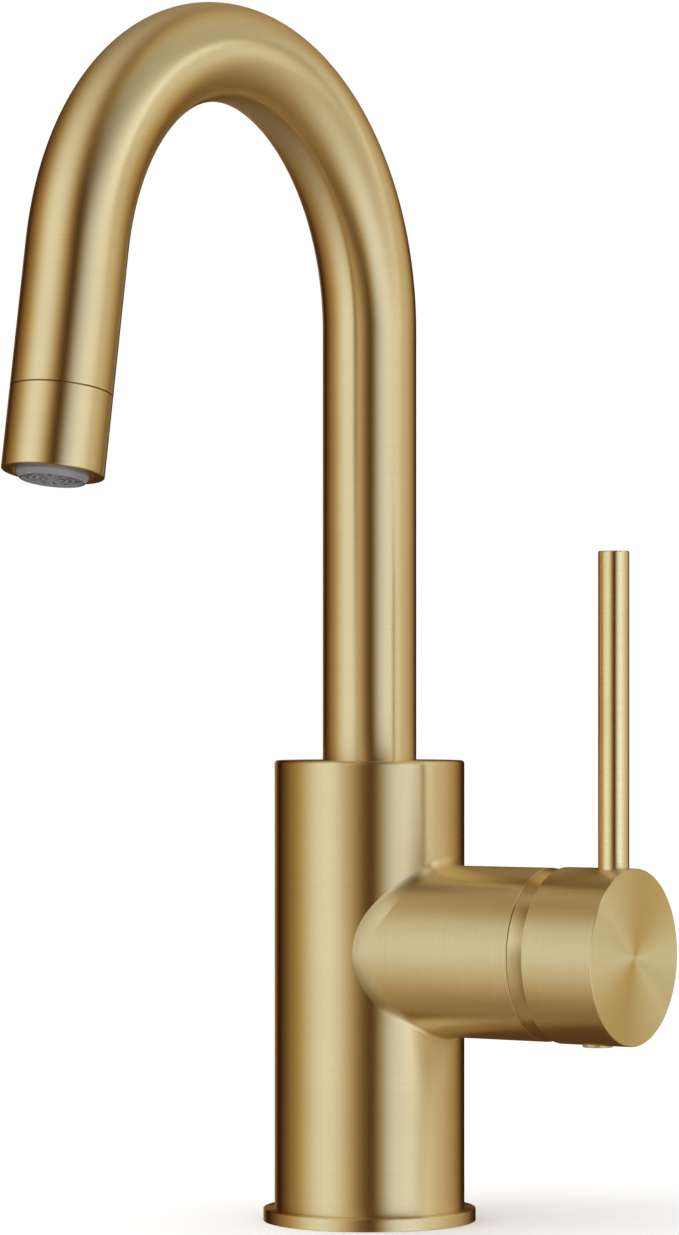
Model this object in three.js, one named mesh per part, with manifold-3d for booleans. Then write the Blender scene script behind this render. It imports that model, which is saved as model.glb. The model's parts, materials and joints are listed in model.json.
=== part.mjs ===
// A deck-mounted, single-handle gooseneck faucet, as separate pieces.
// Millimetres, +Z up. The origin is the centre of the base on the deck. The spout points along -Y,
// the side arm and its handle along +X.
import * as THREE from "three";
import { mergeVertices } from "three/addons/utils/BufferGeometryUtils.js";
import Module from "manifold-3d";

const wasm = await Module();
wasm.setup();

// ---- Driving dimensions ---------------------------------------------------------------------

const GAP = 0.3; // clearance between neighbouring pieces
const ROUND = 36; // sides of a large turned piece
const SMALL_ROUND = 20; // sides of a small or hidden turned piece

// Base
const FLANGE_RADIUS = 28.8;
const FLANGE_HEIGHT = 3.4;
const FLANGE_HOLE_RADIUS = 17.0;
const GASKET_HEIGHT = 1.2;

// Body
const BODY_RADIUS = 25.75;
const BODY_TOP = 124.6;
const BODY_BORE_RADIUS = 23.1;
const BODY_TOP_PLATE = 5.0;
const BODY_BOTTOM = FLANGE_HEIGHT + GAP;

// Side arm, along +X
const ARM_HEIGHT = 73.6; // its axis above the deck
const ARM_RADIUS = 23.0;
const ARM_END = 56.9;
const ARM_BORE_RADIUS = 18.0;
const ARM_THREAD_RADIUS = 19.9;
const ARM_THREAD_START = 47.4;

// Spout
const TUBE_RADIUS = 12.7; // a 25.4 mm tube
const TUBE_BORE_RADIUS = 11.5;
const TUBE_BOTTOM = 118.0;
const RISER_TOP = 240.9;
const BEND_RADIUS = 66.85; // of the centreline
const BEND_ANGLE = THREE.MathUtils.degToRad(170);
const LEG_LENGTH = 37.0; // from the end of the bend to the aerator housing
const BEND_STEPS = 20;
const TUBE_SIDES = 24;
const TIP_LENGTH = 20.4;
const TIP_SEAM = 0.15; // half the seam between the tube and the aerator housing

// Handle
const PIVOT_X = 50.6; // the point that the handle tilts and turns about, on the arm's axis
const DOME_RADIUS = 23.85; // of the dome ring, about the pivot
const DOME_WALL = 1.25;
const DOME_OPENING = THREE.MathUtils.degToRad(41);
const CAP_START = 11.0; // x from the pivot
const CAP_END = 31.65;
const CAP_RADIUS = 23.3;
const CAP_HOLLOW_RADIUS = 24.6; // a sphere about the pivot, clear of the dome ring
const HUB_START = 14.0;
const HUB_RADIUS = 7.0;
const LEVER_X = 25.4;
const LEVER_RADIUS = 4.1;
const LEVER_FOOT = 14.3; // above the arm's axis
const LEVER_TOP = 106.3;
const SCREW_X = 20.6;
const SCREW_RADIUS = 2.4;
const PLUG_RADIUS = 4.0;
const PLUG_FOOT = -23.8;
const PLUG_HEAD = -19.0;

// Waterway core and cartridge, x from the body's axis
const CORE_RADIUS = 22.8;
const CORE_BOTTOM = 14.0;
const CORE_TOP = 119.3;
const SEAT_X = 15.6; // the flat that the cartridge stands on
const CARTRIDGE_RADIUS = 17.4;
const INLET_X = 5.0;
const INLET_Y = 8.0;
const INLET_BORE_RADIUS = 3.0;
const INLET_SOCKET_RADIUS = 6.5;
const INLET_SOCKET_DEPTH = 14.0;
const OUTLET_X = -7.5;
const OUTLET_BORE_RADIUS = 3.5;
const STUD_X = -9.0;
const STUD_BORE_RADIUS = 3.4;
const SPIGOT_BORE_RADIUS = 11.5;
const SPIGOT_BORE_FLOOR = 95.0;
const SPIGOT_RADIUS = SPIGOT_BORE_RADIUS - GAP;
const SNAP_RING = [110.2, 111.6]; // its height range
const BEYOND = 5; // how far a cutting tool runs past the face it opens
const SLIM = 12; // sides of a small bore
const PLAIN = 16; // sides of a pin, a screw or a seal
// The cartridge's ports, as [y, z above the arm's axis]
const HOT_PORT = [INLET_Y, 4.0];
const COLD_PORT = [-INLET_Y, 4.0];
const OUTLET_PORT = [0.0, -7.5];
const PORT_RADIUS = 3.0;
const CARTRIDGE_BASE_END = 27.6;
const DISC_THICKNESS = 3.5;

// Stem and moving disc, x from the pivot
const STEM_BALL_X = -11.0;
const DISC_OFFSET = -2.3; // the moving disc's centre, below the arm's axis while the tap is shut
const PIN_HOLE_RADIUS = 1.6;
const STEM_HALF = 3.0; // half the stem's square
const STEM_END = 29.0;

// ---- Materials ------------------------------------------------------------------------------

const finish = (color, roughness, metalness) =>
  new THREE.MeshStandardMaterial({ color, roughness, metalness });

const satinBrass = finish(0xb39c66, 0.32, 1.0);
const rawBrass = finish(0xb98d3e, 0.45, 1.0);
const steel = finish(0xb9bcbf, 0.35, 1.0);
const greyPlastic = finish(0x85868a, 0.5, 0.0);
const whitePlastic = finish(0xdcdcd4, 0.5, 0.0);
const blackRubber = finish(0x1b1b1c, 0.8, 0.0);
const ceramic = finish(0xe9e3d6, 0.3, 0.0);
const plugPlastic = finish(0xb9a272, 0.4, 0.4);

// ---- Geometry helpers -----------------------------------------------------------------------

// A closed outline of [radius, height] points turned about Z. An outline that starts and ends on
// the axis makes a solid; any other is closed on itself and makes a ring.
function turned(outline, sides = SMALL_ROUND) {
  let points = outline.map(([r, h]) => new THREE.Vector2(r, h));
  if (THREE.ShapeUtils.area(points) < 0) points.reverse();
  const solid = points.some((p) => p.x === 0);
  if (solid) {
    while (points.at(-1).x !== 0 || points[0].x !== 0) points.push(points.shift());
  } else points.push(points[0].clone());
  return new THREE.LatheGeometry(points, sides).rotateX(Math.PI / 2);
}

// The same, turned about X: the outline's heights run along +X.
const turnedX = (outline, sides) => turned(outline, sides).rotateY(Math.PI / 2);

// [radius, height] points round a sphere about the origin, from one angle off the axis to another.
function sphereArc(radius, fromAngle, toAngle, steps) {
  return Array.from({ length: steps + 1 }, (_, i) => {
    const angle = THREE.MathUtils.lerp(fromAngle, toAngle, i / steps);
    return [radius * Math.sin(angle), radius * Math.cos(angle)];
  });
}

const ring = (inner, outer, low, high, sides) =>
  turned([[inner, low], [outer, low], [outer, high], [inner, high]], sides);

const ringX = (inner, outer, low, high, sides) =>
  ring(inner, outer, low, high, sides).rotateY(Math.PI / 2);

const disc = (radius, low, high, sides = SMALL_ROUND) =>
  turned([[0, low], [radius, low], [radius, high], [0, high]], sides);

// Rods between two heights or two x values, centred on the other two coordinates.
const rodZ = (radius, low, high, x, y, sides) =>
  disc(radius, low, high, sides).translate(x, y, 0);
const rodX = (radius, low, high, y, z, sides) =>
  disc(radius, low, high, sides).rotateY(Math.PI / 2).translate(0, y, z);
const rodY = (radius, half, sides) =>
  disc(radius, -half, half, sides).rotateX(Math.PI / 2);

const block = (x0, x1, y0, y1, z0, z1) =>
  new THREE.BoxGeometry(x1 - x0, y1 - y0, z1 - z0).translate(
    (x0 + x1) / 2, (y0 + y1) / 2, (z0 + z1) / 2,
  );

function toSolid(geometry) {
  const bare = geometry.clone();
  bare.deleteAttribute("normal");
  bare.deleteAttribute("uv");
  const merged = mergeVertices(bare, 1e-4);
  return new wasm.Manifold(
    new wasm.Mesh({
      numProp: 3,
      vertProperties: merged.attributes.position.array,
      triVerts: new Uint32Array(merged.index.array),
    }),
  );
}

function toGeometry(solid) {
  const mesh = solid.getMesh();
  const geometry = new THREE.BufferGeometry();
  geometry.setAttribute("position", new THREE.BufferAttribute(mesh.vertProperties, 3));
  geometry.setIndex(new THREE.BufferAttribute(mesh.triVerts, 1));
  geometry.computeVertexNormals();
  return geometry;
}

// The first geometry joined with others, then cut by the tools.
function carve(base, { join = [], cut = [] }) {
  let solid = toSolid(base);
  for (const piece of join) solid = solid.add(toSolid(piece));
  for (const tool of cut) solid = solid.subtract(toSolid(tool));
  return toGeometry(solid);
}

function addPart(group, name, geometry, material) {
  const mesh = new THREE.Mesh(geometry, material);
  mesh.name = name;
  group.add(mesh);
}

// Hole tools evenly spaced round the Z axis.
const holeCircle = (count, circleRadius, makeTool) =>
  Array.from({ length: count }, (_, i) =>
    makeTool().translate(circleRadius, 0, 0).rotateZ((i * 2 * Math.PI) / count),
  );

// ---- Base and body --------------------------------------------------------------------------

function addBase(group) {
  const gasketInner = FLANGE_HOLE_RADIUS + 1.5;
  const gasketOuter = FLANGE_RADIUS - 1.5;
  addPart(group, "base_gasket", ring(gasketInner, gasketOuter, 0, GASKET_HEIGHT, ROUND), blackRubber);

  const edge = 0.4;
  const recess = GASKET_HEIGHT + GAP;
  const flange = turned(
    [
      [FLANGE_RADIUS, 0],
      [FLANGE_RADIUS, FLANGE_HEIGHT - edge],
      [FLANGE_RADIUS - edge, FLANGE_HEIGHT],
      [FLANGE_HOLE_RADIUS, FLANGE_HEIGHT],
      [FLANGE_HOLE_RADIUS, 0],
      [gasketInner - GAP, 0],
      [gasketInner - GAP, recess],
      [gasketOuter + GAP, recess],
      [gasketOuter + GAP, 0],
    ],
    ROUND,
  );
  addPart(group, "base_flange", flange, satinBrass);
}

function addBody(group) {
  const edge = 0.7;
  const outside = turned(
    [
      [0, BODY_BOTTOM],
      [BODY_RADIUS, BODY_BOTTOM],
      [BODY_RADIUS, BODY_TOP - edge],
      [BODY_RADIUS - edge, BODY_TOP],
      [0, BODY_TOP],
    ],
    ROUND,
  );
  const armEdge = 0.3;
  const arm = turnedX(
    [
      [0, 0],
      [ARM_RADIUS, 0],
      [ARM_RADIUS, ARM_END - armEdge],
      [ARM_RADIUS - armEdge, ARM_END],
      [0, ARM_END],
    ],
    ROUND,
  ).translate(0, 0, ARM_HEIGHT);
  const tubeHole = TUBE_RADIUS + 0.4;
  const plateBottom = BODY_TOP - BODY_TOP_PLATE;
  const shell = carve(outside, {
    join: [arm],
    cut: [
      disc(BODY_BORE_RADIUS, BODY_BOTTOM - BEYOND, plateBottom, ROUND),
      disc(tubeHole, plateBottom - BEYOND, BODY_TOP + BEYOND, ROUND),
      rodX(ARM_BORE_RADIUS, 0, ARM_END + BEYOND, 0, ARM_HEIGHT, ROUND),
      rodX(ARM_THREAD_RADIUS, ARM_THREAD_START, ARM_END + BEYOND, 0, ARM_HEIGHT, ROUND),
    ],
  });
  addPart(group, "body_shell", shell, satinBrass);
}

// The brass core inside the body: a foot with the two inlets, a block with the cartridge's seat,
// and a neck that the spout's spigot turns in.
function addWaterway(group) {
  const footTop = 30;
  const columnRadius = 14.5;
  const blockBottom = 50;
  const blockTop = 97;
  const neckRadius = 16.5;
  const collarBottom = 111;
  const collarRadius = 19.5;
  const bushSeat = 113.1;
  const bushRadius = 16.4;
  const profile = turned([
    [0, CORE_BOTTOM],
    [CORE_RADIUS, CORE_BOTTOM],
    [CORE_RADIUS, footTop],
    [columnRadius, footTop],
    [columnRadius, blockBottom],
    [CORE_RADIUS, blockBottom],
    [CORE_RADIUS, blockTop],
    [neckRadius, blockTop],
    [neckRadius, collarBottom],
    [collarRadius, collarBottom],
    [collarRadius, CORE_TOP],
    [0, CORE_TOP],
  ]);

  const stubBehind = 2; // the inlet's cross bore starts this far behind its rising bore
  const stubUp = 1; // and the outlet's rising bore runs this far into the spigot's bore
  const studDepth = 20;
  const snapGrooveRadius = 12.4;
  const inlets = [HOT_PORT, COLD_PORT].flatMap(([y, z]) => [
    rodZ(INLET_SOCKET_RADIUS, CORE_BOTTOM - BEYOND, CORE_BOTTOM + INLET_SOCKET_DEPTH, INLET_X, y),
    rodZ(INLET_BORE_RADIUS, CORE_BOTTOM, ARM_HEIGHT + z, INLET_X, y, SLIM),
    rodX(INLET_BORE_RADIUS, INLET_X - stubBehind, SEAT_X + BEYOND, y, ARM_HEIGHT + z, SLIM),
  ]);
  const outletHeight = ARM_HEIGHT + OUTLET_PORT[1];
  const core = carve(profile, {
    cut: [
      rodX(ARM_BORE_RADIUS + GAP, SEAT_X, CORE_RADIUS + BEYOND, 0, ARM_HEIGHT, ROUND),
      ...inlets,
      rodX(OUTLET_BORE_RADIUS, OUTLET_X, SEAT_X + BEYOND, 0, outletHeight, SLIM),
      rodZ(OUTLET_BORE_RADIUS, outletHeight, SPIGOT_BORE_FLOOR + stubUp, OUTLET_X, 0, SLIM),
      rodZ(STUD_BORE_RADIUS, CORE_BOTTOM - BEYOND, CORE_BOTTOM + studDepth, STUD_X, 0, SLIM),
      disc(SPIGOT_BORE_RADIUS, SPIGOT_BORE_FLOOR, CORE_TOP + BEYOND),
      disc(snapGrooveRadius, SNAP_RING[0] - GAP, SNAP_RING[1] + GAP),
      disc(bushRadius + GAP, bushSeat, CORE_TOP + BEYOND),
    ],
  });
  addPart(group, "waterway_core", core, rawBrass);

  const bushBottom = bushSeat + GAP;
  addPart(group, "swivel_bushing", ring(TUBE_RADIUS + GAP, bushRadius, bushBottom, CORE_TOP), whitePlastic);

  // The threaded ring that holds the core up in the body, with two notches for a spanner.
  const ringInner = 17.5;
  const ringBottom = 7.0;
  const notchHalf = 2.5;
  const notchTop = 10.0;
  const across = CORE_RADIUS + BEYOND;
  const notches = block(-across, across, -notchHalf, notchHalf, ringBottom - BEYOND, notchTop);
  const ringBlank = ring(ringInner, CORE_RADIUS, ringBottom, CORE_BOTTOM - GAP, ROUND);
  const retainingRing = carve(ringBlank, { cut: [notches] });
  addPart(group, "core_retaining_ring", retainingRing, rawBrass);

  const bushInner = 3.6;
  for (const [name, y] of [["inlet_bush_hot", INLET_Y], ["inlet_bush_cold", -INLET_Y]]) {
    const bush = ring(
      bushInner,
      INLET_SOCKET_RADIUS - GAP,
      CORE_BOTTOM,
      CORE_BOTTOM + INLET_SOCKET_DEPTH - GAP,
    ).translate(INLET_X, y, 0);
    addPart(group, name, bush, rawBrass);
  }
}

// ---- Cartridge ------------------------------------------------------------------------------
// Every function below works in a group whose origin is the pivot, so x is counted from there.

const fromPivot = (x) => x - PIVOT_X;

function addCartridge(group) {
  const baseLow = fromPivot(SEAT_X + GAP);
  const baseHigh = fromPivot(CARTRIDGE_BASE_END);
  const ports = [HOT_PORT, COLD_PORT, OUTLET_PORT];
  const sealOuter = 5.1;
  const sealRecess = 1.6;
  const base = carve(rodX(CARTRIDGE_RADIUS, baseLow, baseHigh, 0, 0), {
    cut: ports.flatMap(([y, z]) => [
      rodX(PORT_RADIUS, baseLow - BEYOND, baseHigh + BEYOND, y, z, SLIM),
      rodX(sealOuter + GAP, baseLow - BEYOND, baseLow + sealRecess, y, z, PLAIN),
    ]),
  });
  addPart(group, "cartridge_base", base, whitePlastic);

  const sealNames = ["port_seal_hot", "port_seal_cold", "port_seal_outlet"];
  ports.forEach(([y, z], i) => {
    const seal = ringX(PORT_RADIUS + GAP, sealOuter, baseLow, baseLow + sealRecess - GAP, PLAIN);
    addPart(group, sealNames[i], seal.translate(0, y, z), blackRubber);
  });

  const fixedLow = baseHigh + GAP;
  const fixedHigh = fixedLow + DISC_THICKNESS;
  const fixedRadius = 14.0;
  const drill = ([y, z]) => rodX(PORT_RADIUS, fixedLow - BEYOND, fixedHigh + BEYOND, y, z, SLIM);
  const fixedDisc = carve(rodX(fixedRadius, fixedLow, fixedHigh, 0, 0), { cut: ports.map(drill) });
  addPart(group, "fixed_ceramic_disc", fixedDisc, ceramic);

  const housingBore = 15.3;
  const roofLow = -6.7;
  const roofHigh = -3.0;
  const collarInner = 10.9; // the collar that the temperature rotor turns in
  const collarOuter = 13.5;
  const collarEnd = 2.5;
  const housing = turnedX([
    [housingBore, fixedLow],
    [CARTRIDGE_RADIUS, fixedLow],
    [CARTRIDGE_RADIUS, roofHigh],
    [collarOuter, roofHigh],
    [collarOuter, collarEnd],
    [collarInner, collarEnd],
    [collarInner, roofLow],
    [housingBore, roofLow],
  ]);
  addPart(group, "cartridge_housing", housing, whitePlastic);

  const notchHalf = 2.0;
  const nutOuter = 19.6;
  const nutEnd = 2.3;
  const across = nutOuter + BEYOND;
  const nutBlank = ringX(collarOuter + GAP, nutOuter, roofHigh + GAP, nutEnd, ROUND);
  const nut = carve(nutBlank, {
    cut: [
      block(0, nutEnd + BEYOND, -across, across, -notchHalf, notchHalf),
      block(0, nutEnd + BEYOND, -notchHalf, notchHalf, -across, across),
    ],
  });
  addPart(group, "cartridge_nut", nut, rawBrass);
}

// The fixed dome between the arm and the handle: a threaded skirt under part of a sphere.
function addDomeRing(group) {
  const skirtLow = 2.6;
  const skirtOuter = 19.6;
  const skirtInner = 18.2;
  const shoulder = fromPivot(ARM_END) + 0.2;
  const innerRadius = DOME_RADIUS - DOME_WALL;
  const outerStart = Math.acos(shoulder / DOME_RADIUS);
  const innerStart = Math.asin(skirtInner / innerRadius);
  const dome = turnedX(
    [
      [skirtInner, skirtLow],
      [skirtOuter, skirtLow],
      [skirtOuter, shoulder],
      ...sphereArc(DOME_RADIUS, outerStart, DOME_OPENING, 5),
      ...sphereArc(innerRadius, DOME_OPENING, innerStart, 2),
    ],
    ROUND,
  );
  addPart(group, "dome_ring", dome, satinBrass);
}

function addRotor(group) {
  const pinRadius = 1.5;
  const pinHalf = 9.6;
  const flangeLow = -9.7;
  const flangeHigh = -7.0;
  const flangeRadius = 15.0;
  const rotorRadius = 10.6;
  const rotorEnd = 3.8;
  const outline = turnedX([
    [0, flangeLow],
    [flangeRadius, flangeLow],
    [flangeRadius, flangeHigh],
    [rotorRadius, flangeHigh],
    [rotorRadius, rotorEnd],
    [0, rotorEnd],
  ]);
  // The slot that the stem swings in, up as the handle tilts.
  const slotHalf = STEM_HALF + 0.35;
  const slotBelow = -5.2;
  const slotAbove = 8.6;
  const slot = block(flangeLow - BEYOND, rotorEnd + BEYOND, -slotHalf, slotHalf, slotBelow, slotAbove);
  const rotor = carve(outline, {
    cut: [slot, rodY(PIN_HOLE_RADIUS, rotorRadius + BEYOND, PLAIN)],
  });
  addPart(group, "temperature_rotor", rotor, whitePlastic);
  addPart(group, "rotor_pin", rodY(pinRadius, pinHalf, PLAIN), steel);
}

function addMovingDiscs(group) {
  const discLow = fromPivot(CARTRIDGE_BASE_END + 2 * GAP + DISC_THICKNESS);
  const discHigh = discLow + DISC_THICKNESS;
  const discRadius = 11.0;
  const chamberRadius = 7.5;
  const chamberDepth = 2.0;
  const moving = carve(rodX(discRadius, discLow, discHigh, 0, DISC_OFFSET), {
    cut: [rodX(chamberRadius, discLow - BEYOND, discLow + chamberDepth, 0, DISC_OFFSET)],
  });
  addPart(group, "moving_ceramic_disc", moving, ceramic);

  const holderRadius = 12.0;
  const holderHigh = -10.0;
  const socketRadius = 3.2;
  const socketFloor = -14.0;
  const holder = carve(rodX(holderRadius, discHigh + GAP, holderHigh, 0, DISC_OFFSET), {
    cut: [rodX(socketRadius, socketFloor, holderHigh + BEYOND, 0, 0)],
  });
  addPart(group, "disc_holder", holder, greyPlastic);
}

// ---- Handle ---------------------------------------------------------------------------------

function addStem(group) {
  const ballRadius = 2.6;
  const neckRadius = 2.2;
  const squareStart = -8.0;
  const ball = new THREE.SphereGeometry(ballRadius, SLIM, 8).translate(STEM_BALL_X, 0, 0);
  const neck = rodX(neckRadius, STEM_BALL_X, squareStart + 0.5, 0, 0, SLIM);
  const square = block(squareStart, STEM_END, -STEM_HALF, STEM_HALF, -STEM_HALF, STEM_HALF);
  const stem = carve(square, {
    join: [neck, ball],
    cut: [rodY(PIN_HOLE_RADIUS, STEM_HALF + BEYOND, PLAIN)],
  });
  addPart(group, "cartridge_stem", stem, steel);
}

function addHandle(group) {
  const edge = 0.3;
  const rimAngle = Math.acos(CAP_START / CAP_HOLLOW_RADIUS);
  const hubAngle = Math.asin(HUB_RADIUS / CAP_HOLLOW_RADIUS);
  const cap = turnedX(
    [
      [0, HUB_START],
      [HUB_RADIUS, HUB_START],
      ...sphereArc(CAP_HOLLOW_RADIUS, hubAngle, rimAngle, 6),
      [CAP_RADIUS, CAP_START],
      [CAP_RADIUS, CAP_END - edge],
      [CAP_RADIUS - edge, CAP_END],
      [0, CAP_END],
    ],
    ROUND,
  );
  const pocket = STEM_HALF + GAP;
  const handleCap = carve(cap, {
    cut: [
      block(HUB_START - BEYOND, STEM_END + GAP, -pocket, pocket, -pocket, pocket),
      rodZ(LEVER_RADIUS + GAP, LEVER_FOOT - GAP, CAP_RADIUS + BEYOND, LEVER_X, 0),
      rodZ(SCREW_RADIUS + GAP, PLUG_HEAD, -STEM_HALF, SCREW_X, 0, PLAIN),
      rodZ(PLUG_RADIUS + GAP, -CAP_RADIUS - BEYOND, PLUG_HEAD + GAP, SCREW_X, 0),
    ],
  });
  addPart(group, "handle_cap", handleCap, satinBrass);

  const tip = 0.4;
  const lever = turned([
    [0, LEVER_FOOT],
    [LEVER_RADIUS, LEVER_FOOT],
    [LEVER_RADIUS, LEVER_TOP - tip],
    [LEVER_RADIUS - tip, LEVER_TOP],
    [0, LEVER_TOP],
  ]).translate(LEVER_X, 0, 0);
  addPart(group, "lever_rod", lever, satinBrass);

  const screwTip = -STEM_HALF - GAP;
  addPart(group, "set_screw", rodZ(SCREW_RADIUS, -HUB_RADIUS, screwTip, SCREW_X, 0, PLAIN), steel);
  addPart(group, "screw_plug", rodZ(PLUG_RADIUS, PLUG_FOOT, PLUG_HEAD, SCREW_X, 0), plugPlastic);
}

// ---- Spout ----------------------------------------------------------------------------------

// The tube's centreline: one long step up the riser, short steps round the bend, one down the leg.
class GooseneckCurve extends THREE.Curve {
  steps = BEND_STEPS + 2;

  angleAt(station) {
    return THREE.MathUtils.clamp((station - 1) / BEND_STEPS, 0, 1) * BEND_ANGLE;
  }

  getTangent(t, target = new THREE.Vector3()) {
    const angle = this.angleAt(t * this.steps);
    return target.set(0, -Math.sin(angle), Math.cos(angle));
  }

  getPoint(t, target = new THREE.Vector3()) {
    const station = t * this.steps;
    const angle = this.angleAt(station);
    const along =
      Math.max(station - 1 - BEND_STEPS, 0) * (LEG_LENGTH - TIP_SEAM) -
      Math.max(1 - station, 0) * (RISER_TOP - TUBE_BOTTOM);
    target.set(0, -BEND_RADIUS * (1 - Math.cos(angle)), RISER_TOP + BEND_RADIUS * Math.sin(angle));
    return target.addScaledVector(this.getTangent(t), along);
  }

  getUtoTmapping(u) {
    return u; // stations are spaced by step, not by length
  }
}

const circlePoints = (radius) =>
  Array.from({ length: TUBE_SIDES }, (_, i) => {
    const angle = (i / TUBE_SIDES) * 2 * Math.PI;
    return new THREE.Vector2(radius * Math.cos(angle), radius * Math.sin(angle));
  });

function addTube(group) {
  const section = new THREE.Shape(circlePoints(TUBE_RADIUS));
  section.holes.push(new THREE.Path(circlePoints(TUBE_BORE_RADIUS).reverse()));
  const curve = new GooseneckCurve();
  const tube = new THREE.ExtrudeGeometry(section, { extrudePath: curve, steps: curve.steps });
  addPart(group, "spout_tube", tube, satinBrass);
}

// The spigot in the tube's foot, with what seals it and lets it turn in the core.
function addSpigot(group) {
  const bore = 8.0;
  const grooveRadius = 9.5;
  const grooveHalf = 1.4;
  const ringHeights = [99.5, 105.0];
  const [snapLow, snapHigh] = SNAP_RING;
  const snapGrooveRadius = 10.0;
  const spigotLow = SPIGOT_BORE_FLOOR + 0.6;
  const spigotHigh = TUBE_BOTTOM + 13;
  const collarRadius = TUBE_RADIUS - 0.1;
  const collarLow = 114.5;
  const collarHigh = TUBE_BOTTOM - GAP;
  const washerLow = 113.4;
  const grooves = ringHeights.flatMap((z) => [
    [SPIGOT_RADIUS, z - grooveHalf],
    [grooveRadius, z - grooveHalf],
    [grooveRadius, z + grooveHalf],
    [SPIGOT_RADIUS, z + grooveHalf],
  ]);
  const spigot = turned([
    [bore, spigotLow],
    [SPIGOT_RADIUS, spigotLow],
    ...grooves,
    [SPIGOT_RADIUS, snapLow - GAP],
    [snapGrooveRadius, snapLow - GAP],
    [snapGrooveRadius, snapHigh + GAP],
    [SPIGOT_RADIUS, snapHigh + GAP],
    [SPIGOT_RADIUS, collarLow],
    [collarRadius, collarLow],
    [collarRadius, collarHigh],
    [SPIGOT_RADIUS, collarHigh],
    [SPIGOT_RADIUS, spigotHigh],
    [bore, spigotHigh],
  ]);
  addPart(group, "spout_spigot", spigot, rawBrass);

  // An O-ring's section, flattened a little by its groove.
  const sectionSides = 6;
  const sectionRadius = (SPIGOT_BORE_RADIUS - 0.2 - grooveRadius - GAP) / 2;
  const middleRadius = grooveRadius + GAP + sectionRadius;
  const oRingSection = (z) =>
    Array.from({ length: sectionSides }, (_, i) => {
      const angle = (i / sectionSides) * 2 * Math.PI;
      return [
        middleRadius + sectionRadius * Math.cos(angle),
        z + (grooveHalf - GAP) * Math.sin(angle),
      ];
    });
  ["spigot_o_ring_lower", "spigot_o_ring_upper"].forEach((name, i) =>
    addPart(group, name, turned(oRingSection(ringHeights[i])), blackRubber),
  );

  const snapOuter = 11.9;
  const snapMouth = 2.5; // half the ring's opening
  const snapBlank = ring(snapGrooveRadius + GAP, snapOuter, snapLow, snapHigh);
  const snapRing = carve(snapBlank, {
    cut: [block(0, snapOuter + BEYOND, -snapMouth, snapMouth, snapLow - BEYOND, snapHigh + BEYOND)],
  });
  addPart(group, "spout_snap_ring", snapRing, steel);
  addPart(
    group,
    "thrust_washer",
    ring(SPIGOT_BORE_RADIUS, TUBE_RADIUS, washerLow, collarLow - GAP),
    whitePlastic,
  );
}

// The aerator at the spout's end. The group's +Z points the way the water leaves, from the seam.
function addAerator(group) {
  const threadRadius = 10.5;
  const bodyRadius = TUBE_BORE_RADIUS - GAP;
  const adaptorBore = 8.6;
  const adaptorStart = -12;
  const adaptorEnd = 7;
  const adaptor = turned([
    [adaptorBore, adaptorStart],
    [bodyRadius, adaptorStart],
    [bodyRadius, 0],
    [threadRadius, 0],
    [threadRadius, adaptorEnd],
    [adaptorBore, adaptorEnd],
  ]);
  addPart(group, "outlet_adaptor", adaptor, rawBrass);

  const lipRadius = 9.7;
  const lipStart = 17.3;
  const edge = 0.4;
  const housing = turned(
    [
      [threadRadius + GAP, TIP_SEAM],
      [TUBE_RADIUS, TIP_SEAM],
      [TUBE_RADIUS, TIP_LENGTH - edge],
      [TUBE_RADIUS - edge, TIP_LENGTH],
      [lipRadius + edge, TIP_LENGTH],
      [lipRadius, TIP_LENGTH - edge],
      [lipRadius, lipStart],
      [threadRadius + GAP, lipStart],
    ],
    ROUND,
  );
  addPart(group, "aerator_housing", housing, satinBrass);
  const washerBore = 7.5;
  const washerEnd = 8.8;
  addPart(
    group,
    "aerator_washer",
    ring(washerBore, threadRadius - 0.1, adaptorEnd + GAP, washerEnd),
    blackRubber,
  );

  // A cup of plastic whose floor, with a ring of outlet holes, stands out of the housing.
  const cupInner = 8.4;
  const cupOuter = 9.9;
  const cupStart = washerEnd + GAP;
  const shoulderRadius = 10.4; // rests on the housing's lip
  const shoulderStart = 14.8;
  const shoulderEnd = lipStart - GAP;
  const noseRadius = 9.3;
  const noseBreak = TIP_LENGTH + 0.2; // the nose tapers from here to its face
  const faceRadius = 8.3;
  const faceHeight = TIP_LENGTH + 1.8;
  const floorHeight = 18.5;
  const cup = turned(
    [
      [cupInner, cupStart],
      [cupOuter, cupStart],
      [cupOuter, shoulderStart],
      [shoulderRadius, shoulderStart],
      [shoulderRadius, shoulderEnd],
      [noseRadius, shoulderEnd],
      [noseRadius, noseBreak],
      [faceRadius, faceHeight],
      [0, faceHeight],
      [0, floorHeight],
      [cupInner, floorHeight],
    ],
    ROUND,
  );
  const drillOutlet = (radius) => disc(radius, floorHeight - 0.5, faceHeight + BEYOND, 6);
  const insert = carve(cup, {
    cut: [...holeCircle(6, 5.5, () => drillOutlet(0.9)), drillOutlet(1.2)],
  });
  addPart(group, "aerator_insert", insert, greyPlastic);

  const innerDisc = cupInner - GAP;
  const screenLow = 11.0;
  const screenHigh = 11.5;
  const opening = () => disc(1.6, screenLow - 1, screenHigh + 1, 5);
  const screen = carve(disc(innerDisc, screenLow, screenHigh), {
    cut: [...holeCircle(5, 5.0, opening), opening()],
  });
  addPart(group, "aerator_screen", screen, steel);
  const regulatorBore = 1.5;
  addPart(group, "flow_regulator", ring(regulatorBore, innerDisc, 15.0, 17.0), greyPlastic);
}

// ---- Assembly -------------------------------------------------------------------------------

const faucet = new THREE.Group();
addBase(faucet);
addBody(faucet);
addWaterway(faucet);

const pivot = new THREE.Group();
pivot.position.set(PIVOT_X, 0, ARM_HEIGHT);
faucet.add(pivot);
addCartridge(pivot);
addDomeRing(pivot);
addRotor(pivot);
addMovingDiscs(pivot);
addStem(pivot);
addHandle(pivot);

const spout = new THREE.Group();
faucet.add(spout);
addTube(spout);
addSpigot(spout);

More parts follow.
